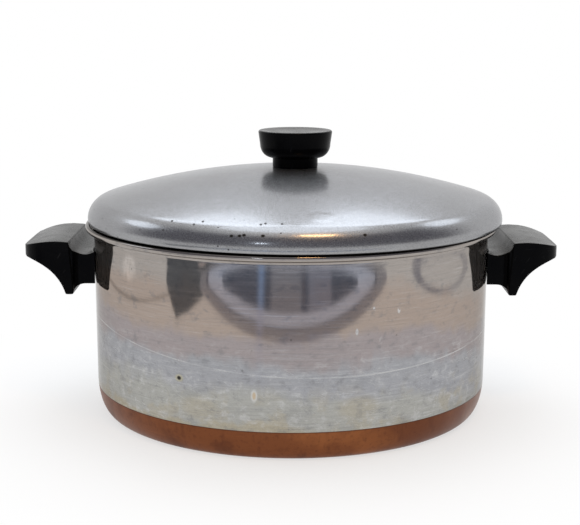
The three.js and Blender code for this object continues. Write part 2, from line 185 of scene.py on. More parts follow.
class StockpotFinishes(bpy.types.PropertyGroup):
    """Colours of the metals and the moulding"""

    silver: colour(0.385, 0.385, 0.36, "Clean steel low on the wall")
    pearl: colour(0.345, 0.35, 0.37, "Blue-grey band above the clean steel")
    rose: colour(0.335, 0.295, 0.295, "Rose band of the heat tint")
    straw: colour(0.375, 0.305, 0.262, "Straw band of the heat tint")
    cream: colour(0.36, 0.327, 0.303, "Pale steel under the rim")
    stain: colour(0.4, 0.365, 0.285, "Yellowish stains just above the copper")
    scuff: colour(0.6, 0.6, 0.6, "Bright scuffs and scratches in the steel")
    inside: colour(0.76, 0.755, 0.74, "Satin steel inside the pot")
    lid: colour(0.35, 0.353, 0.362, "Satin steel of the lid")
    lid_dull: colour(0.31, 0.31, 0.315, "Duller patches of the lid")
    pit: colour(0.03, 0.028, 0.026, "Dark pits in the steel")
    # Painted shade: this near-black stands for the shade in the crevice between the lid and the rim, with
    # some old grease
    grime: colour(0.006, 0.005, 0.005, "Old grease in the crevice between the lid and the rim")
    copper: colour(0.2, 0.07, 0.03, "Browned copper")
    copper_dark: colour(0.09, 0.032, 0.02, "Darker streaks in the copper")
    copper_bright: colour(0.34, 0.125, 0.045, "Brighter patches of the copper")
    phenolic: colour(0.0012, 0.0012, 0.0016, "Black moulding")
    dust: colour(0.03, 0.03, 0.032, "Dust and scuffs on the moulding")
    brass: colour(0.55, 0.38, 0.16, "Threaded inserts")
    hardware: colour(0.5, 0.51, 0.52, "Screws, brackets and stud")


class StockpotStudio(bpy.types.PropertyGroup):
    """The camera and the light"""

    eye: FloatVectorProperty(
        description="Where the camera stands",
        default=(0, -800.4 * MM, 241.9 * MM),
        size=3,
        subtype="TRANSLATION",
        unit="LENGTH",
    )
    pitch: angle(10.846, "How far the camera looks down")
    yaw: angle(0.042, "How far the camera turns left")
    roll: angle(0.166, "How far the camera leans")
    lens: FloatProperty(description="Focal length in millimetres", default=80.99, min=1)
    sky: strength(0.9, "Soft light from all round")
    panel: strength(1, "Strength of the panels and lamps")
    backdrop: colour(1, 1, 1, "Plain backdrop")
    floor: colour(0.95, 0.95, 0.95, "Plain pale floor")
    room: colour(0.15, 0.15, 0.18, "Dark room in front, seen only by metal and gloss")
    cool: colour(0.82, 0.9, 1, "Colour of the panels")
    warm: colour(1, 0.55, 0.2, "Colour of the small lamp")


class Pen:
    """Draws an outline in the XZ plane with the extrude and spin operators, one stroke after another."""

    def __init__(self, x, z):
        self.mesh = bmesh.new()
        self.start = self.tip = self.mesh.verts.new((x, 0, z))

    def line(self, *points):
        """Straight strokes from point to point."""
        for x, z in points:
            self.tip = bmesh.ops.extrude_vert_indiv(self.mesh, verts=[self.tip])["verts"][0]
            self.tip.co = (x, 0, z)

    def straight(self, x, z, hold=0.4 * MM):
        """A line with a point close to each end, so that the rounding beyond it doesn't shade the flat."""
        start = self.tip.co.copy()
        run = Vector((x - start.x, 0, z - start.z)).normalized() * hold
        self.line((start.x + run.x, start.z + run.z), (x - run.x, z - run.z), (x, z))

    def arc(self, centre_x, centre_z, turn, steps=8, stretch=1.0):
        """Turns the tip about a centre, from X towards Z; stretch makes the circle that much taller."""
        flat = Matrix.Diagonal((1, 1, 1 / stretch, 1))
        turned = bmesh.ops.spin(
            self.mesh,
            geom=[self.tip],
            cent=flat @ Vector((centre_x, 0, centre_z)),
            axis=(0, -1, 0),
            angle=turn,
            steps=steps,
            space=flat,
        )
        self.tip = next(item for item in turned["geom_last"] if isinstance(item, bmesh.types.BMVert))

    def bow(self, x, z, rise, steps):
        """An arc to a point that rises by that much over the straight line, to its left."""
        start = Vector((self.tip.co.x, self.tip.co.z))
        chord = Vector((x, z)) - start
        radius = (chord.length_squared / 4 + rise * rise) / (2 * abs(rise))
        left = Vector((-chord.y, chord.x)).normalized() * math.copysign(1, rise)
        centre = start + chord / 2 - left * (radius - abs(rise))
        turn = 2 * math.asin(chord.length / (2 * radius))
        self.arc(centre.x, centre.y, -math.copysign(turn, rise), steps)

    def close(self):
        self.mesh.edges.new((self.tip, self.start))


def spun(pen, steps):
    """Turns an outline once about Z into a closed skin that faces out."""
    mesh = pen.mesh
    around = {"cent": (0, 0, 0), "axis": (0, 0, 1), "angle": FULL_TURN, "steps": steps}
    bmesh.ops.spin(mesh, geom=mesh.verts[:] + mesh.edges[:], use_merge=True, **around)
    bmesh.ops.remove_doubles(mesh, verts=mesh.verts, dist=WELD)
    bmesh.ops.recalc_face_normals(mesh, faces=mesh.faces)
    return mesh


def prism(pen, run):
    """Fills a closed outline and pushes it along a vector, half to each side."""
    mesh = pen.mesh
    pen.close()
    bmesh.ops.contextual_create(mesh, geom=mesh.edges[:])
    bmesh.ops.translate(mesh, verts=mesh.verts, vec=-run / 2)
    pushed = bmesh.ops.extrude_face_region(mesh, geom=mesh.faces[:])["geom"]
    ends = [item for item in pushed if isinstance(item, bmesh.types.BMVert)]
    bmesh.ops.translate(mesh, verts=ends, vec=run)
    bmesh.ops.recalc_face_normals(mesh, faces=mesh.faces)
    return mesh


def rod(x, y, radius, bottom, top, steps=32):
    mesh = bmesh.new()
    bmesh.ops.create_cone(
        mesh, cap_ends=True, segments=steps, radius1=radius, radius2=radius, depth=top - bottom
    )
    bmesh.ops.translate(mesh, verts=mesh.verts, vec=(x, y, (bottom + top) / 2))
    return mesh


def turned_about(mesh, axis, turn):
    bmesh.ops.rotate(mesh, verts=mesh.verts, cent=(0, 0, 0), matrix=Matrix.Rotation(turn, 3, axis))


def as_object(name, mesh, sharp=math.radians(40)):
    """Makes an object of a bmesh, smooth but for the edges that turn by more than the sharp angle."""
    for face in mesh.faces:
        face.smooth = True
    for edge in mesh.edges:
        edge.smooth = len(edge.link_faces) == 2 and edge.calc_face_angle() < sharp
    data = bpy.data.meshes.new(name)
    mesh.to_mesh(data)
    mesh.free()
    made = bpy.data.objects.new(name, data)
    bpy.context.scene.collection.objects.link(made)
    return made


def fit(made, body, slot, replaced, *materials):
    """Gives a finished piece its materials and the body that it rides on, and hides the node that it stands
    for.
    """
    made.data.materials.clear()
    for material in materials:
        made.data.materials.append(material)
    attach(made, body)
    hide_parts(replaced)


def applied(made):
    """Turns the modifiers of an object into its mesh."""
    bpy.context.view_layer.update()
    graph = bpy.context.evaluated_depsgraph_get()
    data = bpy.data.meshes.new_from_object(made.evaluated_get(graph))
    made.modifiers.clear()
    made.data = data


def carve(made, tool, how):
    cut = made.modifiers.new("carve", "BOOLEAN")
    cut.operation = how
    cut.solver = "MANIFOLD"
    cut.object = tool


class Flow:
    """A value on its way through a node tree; arithmetic on it adds Math nodes."""

    def __init__(self, nodes, socket):
        self.nodes = nodes
        self.socket = socket

    def math(self, operation, *others):
        return self.nodes.flow("ShaderNodeMath", dict(enumerate((self, *others))), operation=operation)

    def __add__(self, other):
        return self.math("ADD", other)

    def __sub__(self, other):
        return self.math("SUBTRACT", other)

    def __rsub__(self, other):
        return self.nodes.flow("ShaderNodeMath", {0: other, 1: self}, operation="SUBTRACT")

    def __mul__(self, other):
        return self.math("MULTIPLY", other)

    def __truediv__(self, other):
        return self.math("DIVIDE", other)

    def scaled(self, by, plus):
        return self.math("MULTIPLY_ADD", by, plus)

    def span(self, low, high, to_low=0.0, to_high=1.0, kind="SMOOTHSTEP"):
        """Moves the value from one range into another and holds it at the ends."""
        values = {"Value": self, "From Min": low, "From Max": high, "To Min": to_low, "To Max": to_high}
        return self.nodes.flow("ShaderNodeMapRange", values, interpolation_type=kind)

    def places(self, start, end, to_start=0.0, to_end=1.0):
        """The same for a range of places in millimetres."""
        return self.span(start * MM, end * MM, to_start, to_end)

    def between(self, low, high, soft):
        """1 between two values, 0 outside them, with soft ends."""
        return self.span(low - soft, low + soft) * self.span(high - soft, high + soft, 1, 0)

    def bands(self, *stops):
        """Colours laid one after another along a value from 0 to 1."""
        made = self.nodes.node("ShaderNodeValToRGB", {0: self})
        ramp = made.color_ramp
        ramp.interpolation = "EASE"
        while len(ramp.elements) < len(stops):
            ramp.elements.new(0.5)
        for element, (at, tone) in zip(ramp.elements, stops):
            element.position = at
            element.color = (*tone, 1)
        return Flow(self.nodes, made.outputs[0])


def most(value, *others):
    """The largest of the values."""
    for other in others:
        value = value.math("MAXIMUM", other)
    return value


class Nodes:
    """A node tree in the making."""

    def __init__(self, tree):
        self.tree = tree

    def node(self, kind, inputs=None, **settings):
        made = self.tree.nodes.new(kind)
        for label, value in settings.items():
            setattr(made, label, value)
        for label, value in (inputs or {}).items():
            self.feed(made.inputs[label], value)
        return made

    def flow(self, kind, inputs=None, output=0, **settings):
        return Flow(self, self.node(kind, inputs, **settings).outputs[output])

    def feed(self, socket, value):
        if isinstance(value, Flow):
            self.tree.links.new(value.socket, socket)
        elif socket.type == "RGBA":
            socket.default_value = (*value[:3], 1)
        else:
            socket.default_value = value

    def distance(self, vector):
        return self.flow("ShaderNodeVectorMath", {0: vector}, "Value", operation="LENGTH")

    def mix(self, part, first, second):
        return self.flow("ShaderNodeMix", {0: part, 6: first, 7: second}, 2, data_type="RGBA")

    def seen(self):
        """1 for the rays of the camera and for those that metal and gloss mirror, else 0."""
        path = self.node("ShaderNodeLightPath")
        rays = ("Is Camera Ray", "Is Glossy Ray", "Is Transmission Ray")
        return most(*(Flow(self, path.outputs[label]) for label in rays))


class Finish(Nodes):
    """A material in the making: its surface shader, with the tone and the bumps that were laid so far."""

    def __init__(self, name, tone=None, **constants):
        self.material = bpy.data.materials.new(name)
        self.material.use_nodes = True
        super().__init__(self.material.node_tree)
        self.surface = self.tree.nodes["Principled BSDF"]
        for label, value in constants.items():
            self.surface.inputs[label.replace("_", " ")].default_value = value
        self.place = self.flow("ShaderNodeTexCoord", output="Object")
        split = self.node("ShaderNodeSeparateXYZ", {0: self.place})
        self.x, self.y, self.z = (Flow(self, socket) for socket in split.outputs)
        self.tone = tone
        self.normal = None

    def coat(self, part, tone):
        """Lays a colour over the tone so far."""
        self.tone = self.mix(part, self.tone, tone)

    def veil(self, value, low, high, strength, tone):
        """Lays a colour where a value lies on the high side of a range."""
        self.coat(value.span(low, high, 0, strength), tone)

    def bump(self, height, depth):
        """Raises the surface by so many millimetres, over the bumps so far."""
        values = {"Height": height, "Distance": depth * MM, "Strength": 1}
        if self.normal:
            values["Normal"] = self.normal
        self.normal = self.flow("ShaderNodeBump", values)

    def finished(self, rough, brushed=False):
        """Feeds the surface; brushed metal shines across lines that run round the pot."""
        values = {"Base Color": self.tone, "Roughness": rough, "Normal": self.normal}
        if brushed:
            values["Tangent"] = self.flow("ShaderNodeTangent", direction_type="RADIAL", axis="Z")
        for label, value in values.items():
            self.feed(self.surface.inputs[label], value)
        return self.material

    def show(self, surface):
        self.feed(self.tree.nodes["Material Output"].inputs[0], surface)

    def noise(self, across, up, detail=2.0, roughness=0.5, turn=(0, 0, 0)):
        """Noise on turned Object coordinates, with so many cells a metre along X and Y, and along Z."""
        turned = self.flow("ShaderNodeMapping", {"Vector": self.place, "Rotation": turn})
        vector = self.flow("ShaderNodeMapping", {"Vector": turned, "Scale": (across, across, up)})
        values = {"Vector": vector, "Scale": 1, "Detail": detail, "Roughness": roughness}
        return self.flow("ShaderNodeTexNoise", values)

    def scratches(self, turn, along, across, low):
        """Short fine lines along a direction: the peaks of a noise that is stretched along it."""
        return self.noise(along, across, 1, turn=turn).span(low, low + 0.04)

    def pits(self, cells, size, kept):
        """Small round pits in a part of the cells that fill space."""
        made = self.node("ShaderNodeTexVoronoi", {"Vector": self.place, "Scale": cells})
        dot = Flow(self, made.outputs["Distance"]).span(size, size * 0.55)
        lot = self.flow("ShaderNodeSeparateColor", {0: Flow(self, made.outputs["Color"])})
        return dot * lot.math("LESS_THAN", kept)

    def near(self, place, reach):
        """1 in the middle of a spot with that reach along each axis, fading to 0 at its edge."""
        place, reach = (tuple(part * MM for part in values) for values in (place, reach))
        off = self.flow("ShaderNodeVectorMath", {0: self.place, 1: place}, operation="SUBTRACT")
        share = self.flow("ShaderNodeVectorMath", {0: off, 1: reach}, operation="DIVIDE")
        return self.distance(share).span(1, 0.45)

    def spots(self, places, reach):
        return most(*(self.near(place, reach) for place in places))


# Marks on the wall and the lid, in millimetres
WALL_SPECK = [(-61.7, -104, 43.3)]
WALL_CHIP = [(-19.8, -119.3, 37.6)]
WALL_NICKS = [(49.2, -110.6, 66.9), (59.1, -105.6, 82.6), (45, -112.3, 84.1), (35.8, -115.6, 72.6)]
WALL_STAINS = [(-50.4, -109.9, 27.9), (37.5, -114.9, 29.7)]
LID_DENT = (16.5, -107.6, 134.1)
LID_PITS = [
    (-31.5, -120.4, 125.8), (-27.2, -121.4, 126), (-24.8, -121.6, 126.4), (-14.8, -123.5, 126.4),
    (39.2, -119.1, 126.3),
]
LID_SMALL_PITS = [
    (-16, -116.4, 131.3), (-13.6, -115.4, 131.7), (-4.8, -116.5, 131.7), (-47.4, -106.8, 131.3),
    (-52.2, -108, 129.9), (-64.7, -99.5, 130.4), (-69.4, -102.3, 125.9),
]

# Tones of the marks and of the fine grain
DULLED = (0.2, 0.205, 0.22)
BRUSH_LINE = (0.16, 0.16, 0.16)
DARK_LINE = (0.15, 0.15, 0.16)
MOTTLE = (0.17, 0.17, 0.18)
SPECKLE = (0.12, 0.12, 0.12)
CHIP_EDGE = (0.62, 0.62, 0.6)
CHIP_MIDDLE = (0.5, 0.41, 0.3)
SPECK_HALO = (0.45, 0.41, 0.26)
TURNED_RING = (0.5, 0.5, 0.5)
# Painted sheen for the tops of the moulding
TOP_SHEEN = (0.07, 0.07, 0.068)


def body_steel(finishes, sizes):
    """Polished steel, brushed round the pot, with bands of heat tint, stains, scuffs and long scratches."""
    made = Finish(
        "body_steel",
        Metallic=0.92,
        Specular_Tint=(0.66, 0.65, 0.64, 1),
        Anisotropic=0.5,
        Anisotropic_Rotation=0.25,
    )
    wander = made.noise(11, 26, 3, 0.55) - 0.5
    torn = made.noise(95, 38, 2, 0.6) - 0.5
    height = wander.scaled(30 * MM, torn.scaled(14 * MM, made.z)) + made.x.places(55, 115, 0, 15 * MM)
    made.tone = height.span(sizes.copper_height, sizes.rim_height, kind="LINEAR").bands(
        (0.0, finishes.stain),
        (0.05, finishes.silver),
        (0.17, finishes.silver),
        (0.27, finishes.pearl),
        (0.35, finishes.pearl),
        (0.435, finishes.rose),
        (0.515, finishes.rose),
        (0.615, finishes.straw),
        (0.735, finishes.straw),
        (0.88, finishes.cream),
    )
    cloud = made.noise(60, 60, 4, 0.6)
    brushed = made.noise(30, 2400, 3, 0.7)
    streaks = made.noise(38, 520, 4, 0.7)
    lines = made.noise(36, 820, 3, 0.75)
    mottle = made.noise(150, 190, 4, 0.7)
    low_wall = made.z.places(78, 40)
    yellowed = most(cloud.span(0.5, 0.62) * made.z.places(50, 22), made.spots(WALL_STAINS, (16, 16, 9)))
    made.coat(yellowed * 0.6, finishes.stain)
    made.coat(made.noise(45, 120, 4, 0.65).span(0.5, 0.66) * low_wall * 0.22, DULLED)
    lower = low_wall.span(0, 1, 0.25, 1)
    made.coat(streaks.span(0.5, 0.72) * lower * 0.3, finishes.scuff)
    made.veil(brushed, 0.52, 0.3, 0.22, BRUSH_LINE)
    made.veil(lines, 0.46, 0.28, 0.2, DARK_LINE)
    made.veil(lines, 0.55, 0.74, 0.22, finishes.scuff)
    made.veil(mottle, 0.47, 0.3, 0.4, MOTTLE)
    made.coat(mottle.span(0.52, 0.7, 0, 0.4) * low_wall, finishes.scuff)
    made.veil(made.noise(1300, 1300, 2, 0.6), 0.5, 0.75, 0.16, SPECKLE)
    fine = most(made.scratches((0, 0.1, 0), 60, 4200, 0.72), made.scratches((0, -0.5, 0), 110, 4600, 0.72))
    nicks = made.spots(WALL_NICKS, (1.1, 4, 2.4)) * mottle.span(0.4, 0.5)
    marks = most(ring_scratch(made), fine * lower * 0.7, nicks)
    made.coat(marks * 0.75, finishes.scuff)
    made.coat(made.spots(WALL_CHIP, (2.4, 3, 4.6)) * 0.7, CHIP_EDGE)
    made.coat(made.spots(WALL_CHIP, (1.3, 3, 2.8)), CHIP_MIDDLE)
    made.coat(made.spots(WALL_SPECK, (3.4, 4, 2.8)) * 0.6, SPECK_HALO)
    made.coat(most(made.pits(190, 0.13, 0.05) * 0.5, made.spots(WALL_SPECK, (1.6, 3, 1.5))), finishes.pit)
    # Painted shade: darkens the top of the bead in the crevice under the lid's edge, with some old grease
    made.coat(made.z.places(115, 115.5, 0, 0.85), finishes.grime)
    made.bump(brushed, 0.0003)
    made.bump(made.noise(22, 34), 0.05)
    rough = made.z.places(75, 40, 0.05, 0.17) + marks * 0.2 + streaks.span(0.45, 0.75, 0, 0.05)
    return made.finished(rough, brushed=True)


def ring_scratch(made):
    """The long scratch round the front of the wall, lowest a little right of the middle."""
    off_middle = made.x - 25 * MM
    height = off_middle * off_middle * 0.75 + 47.8 * MM
    line = (made.z - height).math("ABSOLUTE").places(0.46, 0.12)
    broken = made.noise(60, 60, 3).span(0.4, 0.58, 0.3, 1)
    return line * broken * made.y.math("LESS_THAN", 0)


def inside_steel(finishes):
    """Satin steel inside the pot, with fine turned rings on the floor and rings round the wall."""
    made = Finish("inside_steel", finishes.inside, Metallic=0.85, Anisotropic=0.4)
    radius = (made.x.math("POWER", 2) + made.y.math("POWER", 2)).math("SQRT")
    turned = made.flow("ShaderNodeTexNoise", {"W": radius * 1400, "Detail": 3}, noise_dimensions="1D")
    rings = {0: made.z.places(9, 4), 2: made.noise(12, 1300, 4, 0.7), 3: turned}
    lines = made.flow("ShaderNodeMix", rings, data_type="FLOAT")
    cloud = made.noise(30, 30, 4, 0.6)
    made.veil(lines, 0.35, 0.7, 0.3, TURNED_RING)
    made.veil(cloud, 0.5, 0.7, 0.15, finishes.stain)
    made.bump(lines, 0.006)
    return made.finished(cloud.span(0.3, 0.7, 0.24, 0.36), brushed=True)


def lid_steel(finishes):
    """Satin steel of the lid: a clear mirror under a fine haze, with pits, and painted shade with some old
    grease under its edge.
    """
    made = Finish(
        "lid_steel",
        finishes.lid,
        Metallic=0.93,
        Specular_Tint=(0.76, 0.76, 0.77, 1),
        Anisotropic=0.2,
        Anisotropic_Rotation=0.25,
    )
    made.veil(made.noise(20, 20, 4, 0.6), 0.38, 0.68, 1, finishes.lid_dull)
    grain = made.noise(1500, 1500, 2, 0.6)
    made.veil(grain, 0.45, 0.7, 0.42, DARK_LINE)
    wear = most(
        made.scratches((0.4, 0, 0.5), 60, 4200, 0.755),
        made.scratches((1.5, 0.3, -0.2), 70, 4600, 0.76),
    )
    made.coat(wear * 0.35, finishes.scuff)
    edge = made.z.places(139, 126) * made.x.places(60, -20, 0.25, 1)
    spots = most(
        made.pits(360, 0.19, edge.scaled(0.12, 0.006)),
        made.pits(150, 0.09, 0.02),
        made.spots(LID_PITS, (1.5, 2, 1)),
        made.spots(LID_SMALL_PITS, (0.9, 2, 0.7)) * 0.8,
    )
    made.coat(spots, finishes.pit)
    # Painted shade: darkens the underside of the lid's edge over the crevice at the rim, with some old
    # grease
    made.coat(made.z.places(117.2, 116.7, 0, 0.95), finishes.grime)
    made.bump(grain, 0.002)
    made.bump(made.near(LID_DENT, (9, 8, 6)), 0.14)
    made.bump(made.noise(26, 26), 0.07)
    haze = made.noise(3600, 3600, 1)
    return made.finished(haze.span(0.36, 0.62, 0.12, 0.34) + spots * 0.4, brushed=True)


def browned_copper(finishes):
    """Copper browned by the flame, in streaks and patches, brighter where it was rubbed."""
    made = Finish("browned_copper", finishes.copper, Metallic=1, Anisotropic=0.3)
    patches = made.noise(24, 30, 4, 0.6)
    brushed = made.noise(14, 1300, 4, 0.7)
    made.veil(patches, 0.52, 0.7, 0.55, finishes.copper_bright)
    made.veil(patches, 0.46, 0.34, 0.5, finishes.copper_dark)
    made.veil(made.noise(150, 22, 3, 0.6), 0.54, 0.72, 0.45, finishes.copper_dark)
    made.veil(made.noise(420, 420, 3, 0.7), 0.5, 0.7, 0.35, finishes.copper_dark)
    made.veil(brushed, 0.55, 0.8, 0.3, finishes.copper_bright)
    made.coat(made.x.places(20, 70, 0, 0.4), finishes.copper_dark)
    made.coat(made.z.places(16.2, 17.1, 0, 0.6), finishes.copper_dark)
    made.bump(brushed, 0.008)
    return made.finished(patches.span(0.3, 0.7, 0.44, 0.3), brushed=True)


def black_phenolic(finishes):
    """Black moulding with a soft gloss, fine scuffs, a little dust and tops lightened with painted sheen."""
    made = Finish("black_phenolic", finishes.phenolic, Specular_IOR_Level=0.045)
    cloud = made.noise(60, 60, 4, 0.6)
    scuffs = most(
        made.scratches((0.2, 0.1, 0.9), 90, 3600, 0.755),
        made.scratches((1.2, 0.5, 0), 80, 3300, 0.755),
    )
    dusty = cloud.span(0.5, 0.75) * made.pits(520, 0.2, 0.2)
    made.veil(cloud, 0.45, 0.75, 0.03, finishes.dust)
    made.coat(most(scuffs * 0.5, dusty * 0.4), finishes.dust)
    # Painted sheen: faces that look up are lightened, standing in for the sky that they reflect
    facing = made.flow("ShaderNodeTexCoord", output="Normal")
    made.veil(made.flow("ShaderNodeSeparateXYZ", {0: facing}, "Z"), 0.6, 0.98, 0.85, TOP_SHEEN)
    made.bump(made.noise(420, 420, 3, 0.6), 0.012)
    return made.finished(scuffs.scaled(0.2, cloud.span(0.3, 0.7, 0.2, 0.3)))


def plain_metal(name, tone, roughness):
    """Machined metal of the small fixings, with fine turning marks and a little tarnish."""
    made = Finish(name, tone, Metallic=1)
    marks = made.noise(200, 3000, 3, 0.6)
    made.veil(made.noise(260, 260, 3, 0.6), 0.45, 0.75, 0.5, tuple(part * 0.5 for part in tone))
    made.bump(marks, 0.01)
    return made.finished(marks.span(0.3, 0.7, roughness, roughness + 0.12))


# Where the panels and the dark screen stand, from the pot's axis
PANEL_DISTANCE = 920 * MM
SCREEN_RADIUS = 950 * MM
LIT_HEIGHT = 120 * MM
FLOOR_RADIUS = 4
SCREEN_START = math.radians(-210)
SCREEN_TURN = math.radians(240)
SCREEN_LIFTS = range(0, 68, 4)


class STOCKPOT_OT_stage(bpy.types.Operator):
    """Sets up the camera, the plain floor and the soft light"""

    bl_idname = "stockpot.stage"
    bl_label = "Studio"

    def execute(self, context):
        studio = context.scene.stockpot_studio
        context.scene.view_settings.view_transform = "Standard"
        self.camera(context, studio)
        self.sky(context, studio)
        self.floor(studio)
        self.lights(context, studio)
        self.screen(studio)
        return {"FINISHED"}

    def camera(self, context, studio):
        data = bpy.data.cameras.new("camera")
        data.sensor_width = 36
        data.lens = studio.lens
        camera = bpy.data.objects.new("camera", data)
        turn = Matrix.Rotation(studio.yaw, 4, "Z")
        turn @= Matrix.Rotation(QUARTER_TURN - studio.pitch, 4, "X")
        turn @= Matrix.Rotation(studio.roll, 4, "Z")
        camera.matrix_world = Matrix.Translation(studio.eye) @ turn
        context.scene.collection.objects.link(camera)
        context.scene.camera = camera

    def sky(self, context, studio):
        world = bpy.data.worlds.new("sky")
        world.use_nodes = True
        made = Nodes(world.node_tree)
        made.tree.nodes.clear()
        soft = made.flow("ShaderNodeBackground", {"Strength": studio.sky})
        plain = made.flow("ShaderNodeBackground", {"Color": studio.backdrop})
        light = made.flow("ShaderNodeMixShader", {0: made.seen(), 1: soft, 2: plain})
        made.node("ShaderNodeOutputWorld", {0: light})
        context.scene.world = world

    def floor(self, studio):
        """A pale floor that takes the shadow and pales out around it; metal sees the drawn room on it."""
        mesh = bmesh.new()
        bmesh.ops.create_circle(mesh, cap_ends=True, segments=96, radius=FLOOR_RADIUS)
        floor = as_object("floor", mesh)
        made = Finish("pale_floor", (1, 1, 1), Roughness=0.7, Specular_IOR_Level=0.1)
        made.feed(made.surface.inputs["Base Color"], studio.floor)
        far = made.distance(made.place).places(125, 270, 0.6, 1)
        draw_room(made)
        mirrored = made.flow("ShaderNodeLightPath", output="Is Glossy Ray")
        seen = made.mix(mirrored, studio.backdrop, made.tone)
        glow = made.flow("ShaderNodeEmission", {"Color": seen, "Strength": 1})
        lit = Flow(made, made.surface.outputs[0])
        made.show(made.flow("ShaderNodeMixShader", {0: far * made.seen(), 1: lit, 2: glow}))
        floor.data.materials.append(made.material)

    def lights(self, context, studio):
        """Soft panels over and behind the pot, and two small lamps in front."""
        middle = Vector((0, 0, LIT_HEIGHT))
        for name, azimuth, height, width, depth, glow, tone in (
            ("panel_over", 180, 88, 0.75, 0.66, 1.3, studio.cool),
            ("panel_left", -104, 35, 0.4, 0.26, 2, studio.cool),
            ("panel_back_left", -156, 53, 0.43, 0.52, 2.5, studio.cool),
            ("panel_back_right", 159, 53, 0.38, 0.52, 2.6, studio.cool),
            ("panel_right", 116, 42, 0.42, 0.27, 1.9, studio.cool),
            ("lamp_warm", 17, 57, 0.24, 0.1, 16, studio.warm),
            ("lamp_front", -17, 20, 0.09, 0.045, 10, studio.cool),
        ):
            data = bpy.data.lights.new(name, "AREA")
            data.shape = "ELLIPSE"
            data.size = width
            data.size_y = depth
            data.color = tone
            data.energy = glow * studio.panel * math.pi**2 / 4 * width * depth
            away = aimed(azimuth, height)
            lamp = bpy.data.objects.new(name, data)
            turn = away.to_track_quat("Z", "Y").to_matrix().to_4x4()
            lamp.matrix_world = Matrix.Translation(middle + away * PANEL_DISTANCE) @ turn
            context.scene.collection.objects.link(lamp)

    def screen(self, studio):
        """A curved screen in front for the metal to mirror, dark in the middle and pale at its edges."""
        pen = Pen(SCREEN_RADIUS, 3 * MM)
        for degrees in SCREEN_LIFTS:
            lift = math.radians(degrees)
            pen.line((SCREEN_RADIUS * math.cos(lift), LIT_HEIGHT + SCREEN_RADIUS * math.sin(lift)))
        mesh = pen.mesh
        around = {"cent": (0, 0, 0), "axis": (0, 0, 1), "angle": SCREEN_TURN, "steps": 48}
        bmesh.ops.spin(mesh, geom=mesh.verts[:] + mesh.edges[:], **around)
        turned_about(mesh, "Z", SCREEN_START)
        card = as_object("grey_screen", mesh)
        made = Finish("screen_grey")
        made.tree.nodes.remove(made.surface)
        side = made.y / made.distance(made.place)
        pale = most(side.span(-0.22, 0.35), made.z.places(760, 980), made.z.places(225, 150))
        tone = made.mix(pale, studio.room, studio.backdrop)
        made.show(made.flow("ShaderNodeEmission", {"Color": tone, "Strength": 1}))
        card.data.materials.append(made.material)
        card.visible_camera = card.visible_shadow = card.visible_diffuse = False


def aimed(azimuth, height):
    """A direction, turned from the viewer towards +X and raised above the table, in degrees."""
    turn, lift = math.radians(azimuth), math.radians(height)
    return Vector((math.sin(turn) * math.cos(lift), -math.cos(turn) * math.cos(lift), math.sin(lift)))


def draw_room(made):
    """What metal mirrors of the table and the room: the table's edge, the dark room and things beside it."""
    table = Table(made)
    noise = made.noise(40, 40, 3).span(0.35, 0.6)
    made.coat(table.slope(1, 0, 466).between(-8 * MM, 8 * MM, 6 * MM) * 0.62, (0.3, 0.28, 0.26))
    made.coat(table.before(1, 0, 490) * 0.5, (0.9, 0.9, 0.9))
    made.coat(table.spot(-600, 52, 78, 80) * noise * 0.8, (1.6, 1.6, 1.6))
    box = table.before(1, 0, 366) * table.before(0, 1, 230) * table.before(-0.4, 1, 21)
    made.coat(box, (0.15, 0.17, 0.2))
    made.coat(table.spot(-490, -482, 30, 42) * 0.8, (0.9, 0.8, 0.8))
    beam = table.x / (table.y * -1)
    dark = made.mix(beam.between(-0.17, 0.09, 0.03), (0.13, 0.165, 0.25), (0.34, 0.37, 0.46))
    dark = made.mix(beam.between(0.15, 0.36, 0.03), dark, (0.33, 0.37, 0.5))
    dark = made.mix(beam.between(0.1, 0.12, 0.02), dark, (0.18, 0.19, 0.26))
    for corner, oval, tone in (
        ((-440, 487, -386, 62), (10, -400, 476, 330), (0.42, 0.43, 0.49)),
        ((-426, 440, -424, 56), (4, -420, 436, 300), (0.24, 0.26, 0.33)),
        ((-416, 430, -435, 52), (0, -440, 420, 272), (0.76, 0.86, 1.08)),
        ((-350, 340, -480, 46), (-6, -480, 346, 198), dark),
    ):
        made.coat(table.corner(*corner) * table.oval(*oval), tone)
    streak = beam.between(-0.28, -0.24, 0.04) * table.y.places(-280, -480)
    blue = made.mix(table.y.places(-470, -500), (0.6, 0.68, 0.95), (0.42, 0.66, 1.15))
    made.coat(streak * 0.85, blue)
    ring = table.reach(600, -30, 97, 219).between(0.86, 1.14, 0.07)
    made.coat(ring * table.y.places(60, -160, 0.5, 0.95), (0.42, 0.43, 0.5))


class Table:
    """Draws on the floor, in millimetres, as the pot's slightly flared wall mirrors it."""

    def __init__(self, made):
        self.x = made.x * 1.04
        self.y = made.y * 1.04

    def slope(self, across, up, level):
        """How far a point lies behind a slanting line."""
        return self.x.scaled(across, self.y.scaled(up, level * MM))

    def before(self, across, up, level):
        return self.slope(across, up, level).places(5, -5)

    def reach(self, x, y, wide, long):
        """Distance from the middle of an oval, as a share of its size."""
        side = (self.x - x * MM) / (wide * MM)
        ahead = (self.y - y * MM) / (long * MM)
        return (side * side + ahead * ahead).math("SQRT")

    def spot(self, x, y, wide, long):
        return self.reach(x, y, wide, long).span(1, 0.5)

    def oval(self, x, y, wide, long):
        """1 inside an oval and behind its widest line."""
        return most(self.reach(x, y, wide, long).span(1.02, 0.98), self.y.places(y - 5, y + 5))

    def corner(self, left, right, front, radius):
        """1 in front of a line across the table whose two ends turn away from the pot round a corner."""
        middle, half = (left + right) / 2 * MM, (right - left) / 2 * MM
        side = ((self.x - middle).math("ABSOLUTE") - (half - radius * MM)).math("MAXIMUM", 0)
        near = (self.y - (front - radius) * MM).math("MAXIMUM", 0)
        return (radius * MM - (side * side + near * near).math("SQRT")).places(-4, 4)


